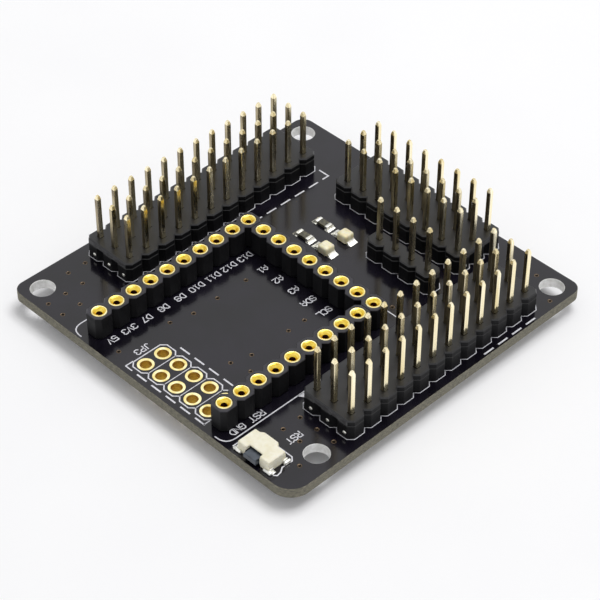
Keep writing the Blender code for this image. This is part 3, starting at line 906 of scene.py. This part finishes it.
def make_strip(name):
    lines = cells(name)
    places = [p for p in SOCKET_PLACES if any(math.dist(p, cell) < MM for cell in grid(lines))]
    holes = [circle(HEAD_R + HEAD_CLEAR, SOCKET_HOLE_SIDES, p) for p in places]
    shape = bmesh.new()
    add_plate(shape, cells_outline(lines, STRIP_CHAMFER), holes, STRIP_LOW, STRIP_HIGH, STRIP_EDGE)
    # Upright sides take the darker side finish, painted shade.
    mark_faces(shape, is_side)
    piece(f"{name}_moulding", shape, [STRIP, SIDE_SHADE], "board", [name])


def make_contacts():
    top = STRIP_HIGH
    profile = [
        (0.0, PIN_BOTTOM + TAIL_TIP), (TAIL_R * 0.7, PIN_BOTTOM + TAIL_TIP),
        (TAIL_R, PIN_BOTTOM + TAIL_FULL), (TAIL_R, top - BARREL_H),
        (BARREL_R, top - BARREL_H), (BARREL_R, top - HEAD_H), (HEAD_R, top - HEAD_H),
        (HEAD_R, top - HEAD_BREAK), (HEAD_R - HEAD_BREAK, top), (RIM_R, top),
        (FUNNEL_R, top - FUNNEL_LIP), (BORE_R, top - FUNNEL_DEPTH), (BORE_R, top - BORE_DEPTH),
        (0.0, top - BORE_DEPTH),
    ]
    for name, place in zip(SOCKETS, SOCKET_PLACES):
        shape = bmesh.new()
        add_turned(shape, place, profile, TURNED_SIDES)
        for face in shape.faces:
            center = face.calc_center_median()
            reach = (center.xy - Vector(place)).length
            # The bore takes the dark brown, painted shade.
            if center.z > top - BORE_DEPTH - SLACK and reach < BORE_R + SLACK:
                face.material_index = 1
            # The rim takes the pale gold, a painted highlight.
            elif center.z > top - HEAD_BREAK and reach > RIM_R - SLACK:
                face.material_index = 2
        piece(f"{name}_turned", shape, [GOLD, BORE_SHADE, PAD_AND_RIM_HIGHLIGHT], "board", [name], 35)


# Lights and resistors

def add_fillet(shape, tip_x, body_x, y0, y1, height):
    """A solder fillet that climbs a chip's end from the pad's tip."""
    reach = body_x - tip_x
    low = BOARD_HIGH.z + COPPER
    profile = [
        (tip_x, low), (body_x, low), (body_x, low + height),
        (body_x - reach * 0.25, low + height * 0.55), (body_x - reach * 0.6, low + height * 0.2),
    ]
    rings = [[shape.verts.new((x, y, z)) for x, z in profile] for y in (y0, y1)]
    join_rings(shape, rings[0], rings[1])
    shape.faces.new(rings[0])
    shape.faces.new(rings[1])


def make_chip_solder():
    """Tin pads and fillets at both ends of the lights and the resistors."""
    shape = bmesh.new()
    for kind, reach in PAD_REACH.items():
        for side in ("front", "rear"):
            low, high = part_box(f"{kind}_{side}")
            for end, sign in ((low[0], -1), (high[0], 1)):
                tip = end + sign * reach
                y0, y1 = low[1] + PAD_EDGE, high[1] - PAD_EDGE
                x0, x1 = sorted((tip + sign * PAD_EDGE, end - sign * PAD_UNDER))
                add_block(shape, (x0, y0 - PAD_EDGE, BOARD_HIGH.z - SLACK),
                          (x1, y1 + PAD_EDGE, BOARD_HIGH.z + COPPER), 0.008 * MM, 1)
                add_fillet(shape, tip, end, y0, y1, FILLET_H)
    piece("chip_solder", shape, [SOLDER], "board", smooth=60)


def make_lights():
    for side in ("front", "rear"):
        base = f"led_base_{side}"
        low, high = (Vector(corner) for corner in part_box(base))
        shape = bmesh.new()
        add_block(shape, low, high, 0.05 * MM)
        piece(f"{base}_board", shape, [WHITE], "board", [base])
        lens = f"led_lens_{side}"
        low, high = (Vector(corner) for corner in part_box(lens))
        foot = rectangle(low.x + 0.1 * MM, low.y - 0.2 * MM, high.x + 0.3 * MM, high.y + 0.1 * MM)
        foot = cut_corners(foot, 0.2 * MM)
        shape = bmesh.new()
        add_stack(shape, [
            (foot, low.z - 0.3 * MM), (inset(foot, 0.02 * MM), low.z + 0.35 * MM),
            (inset(foot, 0.07 * MM), high.z), (inset(foot, 0.2 * MM), high.z + 0.1 * MM),
        ])
        piece(f"{lens}_dome", shape, [EPOXY], "board", [lens], 50)


def make_resistors():
    wrap = Vector((0.0, CAP_WRAP, CAP_WRAP))
    for side in ("front", "rear"):
        node = f"resistor_{side}"
        low, high = (Vector(corner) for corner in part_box(node))
        shape = bmesh.new()
        low.y += RESISTOR_TRIM
        high -= Vector((0.0, RESISTOR_TRIM, 0.1 * MM))
        add_block(shape, low, high, 0.04 * MM)
        piece(f"{node}_body", shape, [GLAZE], "board", [node])
        shape = bmesh.new()
        add_block(shape, low - wrap, Vector((low.x + RESISTOR_CAP, high.y, high.z)) + wrap, 0.03 * MM)
        add_block(shape, Vector((high.x - RESISTOR_CAP, low.y, low.z)) - wrap, high + wrap, 0.03 * MM)
        piece(f"{node}_end_caps", shape, [SOLDER], "board", smooth=50)


# Reset switch

def switch_back(mid):
    """The switch's stepped back edge, from its right end to its left."""
    low_y, tab_y = SWITCH_HIGH.y - BACK_STEP, SWITCH_HIGH.y + BACK_TAB
    return [
        (SWITCH_HIGH.x, low_y), (mid + 1.2 * MM, low_y), (mid + 0.9 * MM, tab_y),
        (mid - 1.25 * MM, tab_y), (mid - 1.6 * MM, SWITCH_HIGH.y), (SWITCH_LOW.x, SWITCH_HIGH.y),
    ]


def switch_plan():
    """The switch's plan: corners rounded, front recessed for the push piece, back stepped."""
    opening = (SWITCH_HIGH.x - SWITCH_LOW.x) / 2 - LEG_WIDTH
    mid = (SWITCH_HIGH.x + SWITCH_LOW.x) / 2 - OPENING_SHIFT
    x0, x1, y0, y1 = SWITCH_LOW.x, SWITCH_HIGH.x, SWITCH_LOW.y, SWITCH_HIGH.y
    left_middle = (x0, (y0 + y1) / 2)
    front = [left_middle, (x0, y0), (mid - opening, y0), (mid - opening, y0 + RECESS),
             (mid + opening, y0 + RECESS), (mid + opening, y0), (x1, y0)]
    corners = front + switch_back(mid) + [left_middle]
    path = [tuple(p) for p in rounded_path(corners, SWITCH_CORNER_R, 3)]
    return path[:-1], mid, opening


def make_switch():
    """A U-shaped body with a thick floor, under a lid. The push piece lies between its legs."""
    plan, mid, opening = switch_plan()
    shape = bmesh.new()
    add_plate(shape, plan, [], SWITCH_LOW.z, SWITCH_LOW.z + SWITCH_FLOOR, 0.03 * MM)
    x0, x1, y0, y1 = SWITCH_LOW.x, SWITCH_HIGH.x, SWITCH_LOW.y, SWITCH_HIGH.y
    inner_y = y1 - SWITCH_BACK_WALL
    walls = [
        (x0, y0), (mid - opening, y0), (mid - opening, y0 + RECESS),
        (x0 + SWITCH_WALL, y0 + RECESS), (x0 + SWITCH_WALL, inner_y),
        (x1 - SWITCH_WALL, inner_y), (x1 - SWITCH_WALL, y0 + RECESS),
        (mid + opening, y0 + RECESS), (mid + opening, y0), (x1, y0), *switch_back(mid),
    ]
    add_plate(shape, walls, [], SWITCH_LOW.z + SWITCH_FLOOR, SWITCH_HIGH.z, 0.04 * MM)
    piece("switch_body", shape, [IVORY], "board", ["switch_base"])
    shape = bmesh.new()
    add_plate(shape, plan, [], COVER_LOW.z - 0.02 * MM, COVER_HIGH.z, 0.08 * MM)
    piece("switch_lid", shape, [IVORY], "board", ["switch_cover"])
    make_plunger(mid, opening)
    make_terminals()
    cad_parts["switch_dome"].material_slots[0].material = STEEL


def make_plunger(mid, opening):
    low, high = (Vector(corner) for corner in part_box("switch_plunger"))
    stem = opening - PUSH_CLEAR
    front = low.y + PUSH_SET_BACK
    shoulder = SWITCH_LOW.y + RECESS + SHOULDER_GAP
    outline = [
        (mid - stem, front), (mid + stem, front), (mid + stem, shoulder), (high.x, shoulder),
        (high.x, high.y), (low.x, high.y), (low.x, shoulder), (mid - stem, shoulder),
    ]
    shape = bmesh.new()
    add_plate(shape, outline, [], low.z, high.z - PUSH_DROP, 0.08 * MM)
    piece("switch_push_piece", shape, [SLATE], "reset_button", ["switch_plunger"])


def make_terminals():
    """The tinned tabs, each under a blob of solder that spreads over its pad."""
    for name in sorted(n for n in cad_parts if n.startswith("switch_terminal")):
        low, high = (Vector(corner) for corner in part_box(name))
        outward = 1 if low.x > (SWITCH_LOW.x + SWITCH_HIGH.x) / 2 else -1
        inner, tip = (low.x, high.x) if outward > 0 else (high.x, low.x)
        shape = bmesh.new()
        xs = sorted((inner, inner + outward * TAB_THICK))
        add_block(shape, (xs[0], low.y, low.z), (xs[1], high.y, high.z), 0.03 * MM)
        xs = sorted((inner, tip))
        add_block(shape, (xs[0], low.y, low.z), (xs[1], high.y, low.z + TAB_THICK), 0.03 * MM)
        piece(f"{name}_tab", shape, [SOLDER], "board", [name], 50)
        shape = bmesh.new()
        front = "front" in name
        xs = sorted((inner - outward * (0.7 if front else -0.1) * MM, tip - outward * 0.02 * MM))
        if front:
            ys = (low.y - 0.32 * MM, low.y + 0.22 * MM)
        else:
            ys = (low.y - 0.1 * MM, high.y + 0.3 * MM)
        add_block(shape, (xs[0], ys[0], BOARD_HIGH.z), (xs[1], ys[1], low.z + 0.4 * MM), 0.18 * MM, 3)
        piece(f"{name}_solder", shape, [SOLDER], "board", smooth=60)


# Print: strokes of each sign on a grid 4 wide and 6 high, as "xy" points

GLYPHS = {
    "0": "01 05 16 36 45 41 30 10 01", "1": "15 26 20 / 10 30", "2": "05 16 36 45 44 00 40",
    "3": "05 16 36 45 44 33 42 41 30 10 01", "4": "30 36 02 42", "5": "46 06 03 33 42 41 30 10 01",
    "6": "45 36 16 05 01 10 30 41 42 33 03", "7": "06 46 10",
    "8": "13 04 05 16 36 45 44 33 42 41 30 10 01 02 13 / 13 33", "9": "01 10 30 41 45 36 16 05 04 13 43",
    "A": "00 04 26 44 40 / 02 42", "C": "45 36 16 05 01 10 30 41", "D": "00 06 26 44 42 20 00",
    "G": "45 36 16 05 01 10 30 41 43 23", "J": "01 10 20 31 36", "L": "06 00 40", "N": "00 06 40 46",
    "P": "00 06 36 45 44 33 03", "R": "00 06 36 45 44 33 03 / 13 40",
    "S": "45 36 16 05 04 13 33 42 41 30 10 01", "T": "06 46 / 26 20", "V": "06 20 46",
}
GLYPH_GRID = 6
GLYPH_STEP = 5.2


def add_label(shape, text, center, height=TEXT_H):
    """A word that reads towards -Y, its letters' tops towards +X."""
    unit = height / GLYPH_GRID
    width = (GLYPH_STEP * (len(text) - 1) + 4) * unit
    for i, letter in enumerate(text):
        for stroke in GLYPHS[letter].split("/"):
            points = []
            for u, v in (map(int, pair) for pair in stroke.split()):
                along = (GLYPH_STEP * i + u) * unit - width / 2
                points.append((center[0] + v * unit - height / 2, center[1] - along))
            add_line(shape, points, TEXT_STROKE, BOARD_HIGH.z, BOARD_HIGH.z + INK_H)


def make_labels():
    shape = bmesh.new()
    for i, name in enumerate(("5V", "3V3", "D7", "D8", "D9", "D10", "D11", "D12", "D13")):
        add_label(shape, name, on_grid(0.8, -9 + i))
    for i, name in enumerate(("A1", "A2", "A3", "SDA", "SCL"), 2):
        add_label(shape, name, on_grid(i, -0.9 - 0.05 * len(name)))
    for i, name in enumerate(("GND", "RST")):
        add_label(shape, name, (ARM_X + 1.7 * MM, FRONT_SOCKET_Y + 0.3 * MM + PITCH * 1.13 * i))
    add_label(shape, "JP3", on_grid(2.17, -8.47))
    add_label(shape, "RST", (16.98 * MM, -17.2 * MM))
    piece("pin_labels", shape, [INK], "board")


def add_print(shape, points, width=INK_W):
    add_line(shape, points, width, BOARD_HIGH.z, BOARD_HIGH.z + INK_H)


def rounded_path(corners, radius, steps=6):
    """A path whose inner corners are rounded."""
    path = [Vector(corners[0])]
    for before, here, after in zip(corners, corners[1:], corners[2:]):
        before, here, after = Vector(before), Vector(here), Vector(after)
        start = here + (before - here).normalized() * radius
        end = here + (after - here).normalized() * radius
        for i in range(steps + 1):
            s = i / steps
            path.append(start * (1 - s) ** 2 + here * 2 * s * (1 - s) + end * s * s)
    return path + [Vector(corners[-1])]


def make_outlines():
    """Printed outlines round the sockets, the plated holes, the headers and the switch."""
    shape = bmesh.new()
    x0, x1 = SOCKET_PLACES[0][0] - PITCH, ARM_X + PITCH
    y0, y1 = FRONT_SOCKET_Y - U_FRONT, SPAN_Y + PITCH
    add_print(shape, rounded_path([
        (x0 + U_FOOT, y0), (x0, y0), (x0, y1), (x1, y1), (x1, y0), (x1 - U_FOOT, y0),
    ], U_CORNER_R))
    mark_y = HEADERS["right_header"][1][0]
    pointer = [(x1, mark_y - POINTER_HALF), (x1 + POINTER_H, mark_y), (x1, mark_y + POINTER_HALF)]
    add_stack(shape, [(pointer, BOARD_HIGH.z), (pointer, BOARD_HIGH.z + INK_H)])
    columns = sorted({p[0] for p in PLATED_PLACES})
    rows = sorted({p[1] for p in PLATED_PLACES})
    outer = cells_outline([columns, rows], CELL_CHAMFER)
    add_print(shape, [*outer, outer[0]])
    for column in columns[:-1]:
        middle_x = column + PITCH / 2
        reach = PITCH / 2 - CELL_CHAMFER
        add_print(shape, [(middle_x, rows[0] - reach), (middle_x, rows[-1] + reach)], THIN_INK_W)
    dash_front = FRONT_SOCKET_Y - DASHED_FRONT
    dash_rear = FRONT_SOCKET_Y + DASHED_REAR
    dash_left = columns[0] - DASHED_SIDE
    corner = (dash_left, dash_front)
    add_print(shape, [(dash_left, dash_front + MM), corner, (dash_left + MM, dash_front)])
    add_dashes(shape, (dash_left + 2.0 * MM, dash_front), (ARM_X - PITCH / 2, dash_front))
    add_dashes(shape, (dash_left + 2.1 * MM, dash_rear), (ARM_X - PITCH, dash_rear))
    dash_right = ARM_X - PITCH / 2 - 0.05 * MM
    add_print(shape, [(dash_right, dash_front), (dash_right, dash_front + 0.75 * MM)])
    for lines in (*HEADERS.values(), SMALL_HEADER):
        outer = inset(cells_outline(lines, CELL_CHAMFER, all_round=True), -OUTLINE_GAP)
        add_print(shape, [*outer, outer[0]], THIN_INK_W)
    header_x, header_y = HEADERS["left_header"]
    box_x = header_x[-1] + 3.17 * MM
    box_y = header_y[-1] + 1.25 * MM
    add_print(shape, [(box_x - 1.5 * MM, box_y), (box_x, box_y), (box_x, box_y - 0.9 * MM)], DASH_W)
    add_dashes(shape, (box_x, box_y - 1.9 * MM), (box_x, header_y[0]))
    right_y = HEADERS["right_header"][1]
    edge_x = BOARD_HIGH.x - 0.4 * MM
    add_dashes(shape, (edge_x, right_y[4] + 8.9 * MM), (edge_x, right_y[-1]))
    left_side = SWITCH_LOW.x - 0.8 * MM
    around = [
        (0.0, 0.8), (0.45, 0.4), (0.4, -0.4), (0.38, -1.0), (0.78, -1.6), (0.88, -2.2), (0.6, -2.45),
    ]
    add_print(shape, [(left_side, SWITCH_LOW.y + 0.1 * MM), (left_side, SWITCH_HIGH.y + 0.8 * MM),
                      *[(SWITCH_HIGH.x + x * MM, SWITCH_HIGH.y + y * MM) for x, y in around]])
    piece("printed_outlines", shape, [INK], "board")


def add_dashes(shape, start, end):
    start, end = Vector(start), Vector(end)
    along = (end - start).normalized()
    for i in range(int((end - start).length / (DASH + DASH_GAP)) + 1):
        first = start + along * (DASH + DASH_GAP) * i
        add_print(shape, [first, first + along * DASH], DASH_W)


# Studio

def white_paper():
    """Matt white paper, lifted to pure white for the camera and for reflections only."""
    made = bpy.data.materials.new("white_paper")
    made.use_nodes = True
    tree = made.node_tree
    shader = tree.nodes["Principled BSDF"]
    shader.inputs["Roughness"].default_value = 0.9
    shader.inputs["Specular IOR Level"].default_value = 0.2
    place = add(tree, "ShaderNodeTexCoord").outputs["Object"]
    fibre = add(tree, "ShaderNodeTexNoise", {"Vector": place, "Scale": per_mm(20.0)}).outputs["Fac"]
    tone = add(tree, "ShaderNodeMix", {0: fibre, 6: linear("#f3f3f5"), 7: linear("#f8f8f9")},
               data_type="RGBA")
    tree.links.new(tone.outputs[2], shader.inputs["Base Color"])
    paths = add(tree, "ShaderNodeLightPath").outputs
    seen = add(tree, "ShaderNodeMath", {0: paths["Is Camera Ray"], 1: paths["Is Transmission Ray"]},
               operation="MAXIMUM").outputs[0]
    glow = add(tree, "ShaderNodeMath", {0: seen, 1: PAPER_GLOW}, operation="MULTIPLY").outputs[0]
    glow = add(tree, "ShaderNodeMath", {0: paths["Is Glossy Ray"], 1: PAPER_MIRROR_GLOW, 2: glow},
               operation="MULTIPLY_ADD").outputs[0]
    shader.inputs["Emission Color"].default_value = (1.0, 1.0, 1.0, 1.0)
    tree.links.new(glow, shader.inputs["Emission Strength"])
    return made


def make_floor():
    mesh = bpy.data.meshes.new("floor")
    square = rectangle(-FLOOR_HALF, -FLOOR_HALF, FLOOR_HALF, FLOOR_HALF)
    corners = [(x, y, CAD_BOUNDS[0][2]) for x, y in square]
    mesh.from_pydata(corners, [], [(0, 1, 2, 3)])
    mesh.materials.append(white_paper())
    floor = bpy.data.objects.new("floor", mesh)
    scene.collection.objects.link(floor)


def make_world():
    world = bpy.data.worlds.new("studio")
    scene.world = world
    world.use_nodes = True
    tree = world.node_tree
    tree.nodes["Background"].inputs["Color"].default_value = (1.0, 1.0, 1.0, 1.0)
    paths = add(tree, "ShaderNodeLightPath")
    seen = add(tree, "ShaderNodeMath", {
        0: paths.outputs["Is Camera Ray"], 1: paths.outputs["Is Glossy Ray"],
    }, operation="MAXIMUM").outputs[0]
    strength = add(tree, "ShaderNodeMapRange", {"Value": seen, "To Min": WORLD_FILL, "To Max": 1.0})
    tree.links.new(strength.outputs["Result"], tree.nodes["Background"].inputs["Strength"])


def make_lamp():
    """A broad softbox, nearly overhead and a little behind."""
    data = bpy.data.lights.new("top_softbox", "AREA")
    data.shape = "RECTANGLE"
    data.size, data.size_y = LAMP_SIZE
    data.energy = LAMP_POWER
    lamp = bpy.data.objects.new("top_softbox", data)
    lamp.location = LAMP_PLACE
    lamp.rotation_euler = (-LAMP_PLACE).to_track_quat("-Z", "Y").to_euler()
    scene.collection.objects.link(lamp)


def make_camera():
    azimuth = math.radians(CAMERA_AZIMUTH)
    elevation = math.radians(CAMERA_ELEVATION)
    back = Vector((math.sin(azimuth) * math.cos(elevation), -math.cos(azimuth) * math.cos(elevation),
                   math.sin(elevation)))
    right = Vector((math.cos(azimuth), math.sin(azimuth), 0.0))
    up = back.cross(right)
    roll = math.radians(CAMERA_ROLL)
    turned_right = right * math.cos(roll) + up * math.sin(roll)
    turned_up = up * math.cos(roll) - right * math.sin(roll)
    data = bpy.data.cameras.new("camera")
    data.lens = CAMERA_LENS
    data.sensor_width = 36.0
    data.clip_start = 0.01
    camera = bpy.data.objects.new("camera", data)
    turn = Matrix((turned_right, turned_up, back)).transposed().to_4x4()
    camera.matrix_world = Matrix.Translation(CAMERA_TARGET + back * CAMERA_DISTANCE) @ turn
    scene.collection.objects.link(camera)
    scene.camera = camera


make_board()
make_plated_holes()
make_vias()
make_hole_linings()
make_solder()
make_headers()
for strip in STRIPS:
    make_strip(strip)
make_contacts()
make_chip_solder()
make_lights()
make_resistors()
make_switch()
make_labels()
make_outlines()
make_floor()
make_world()
make_lamp()
make_camera()
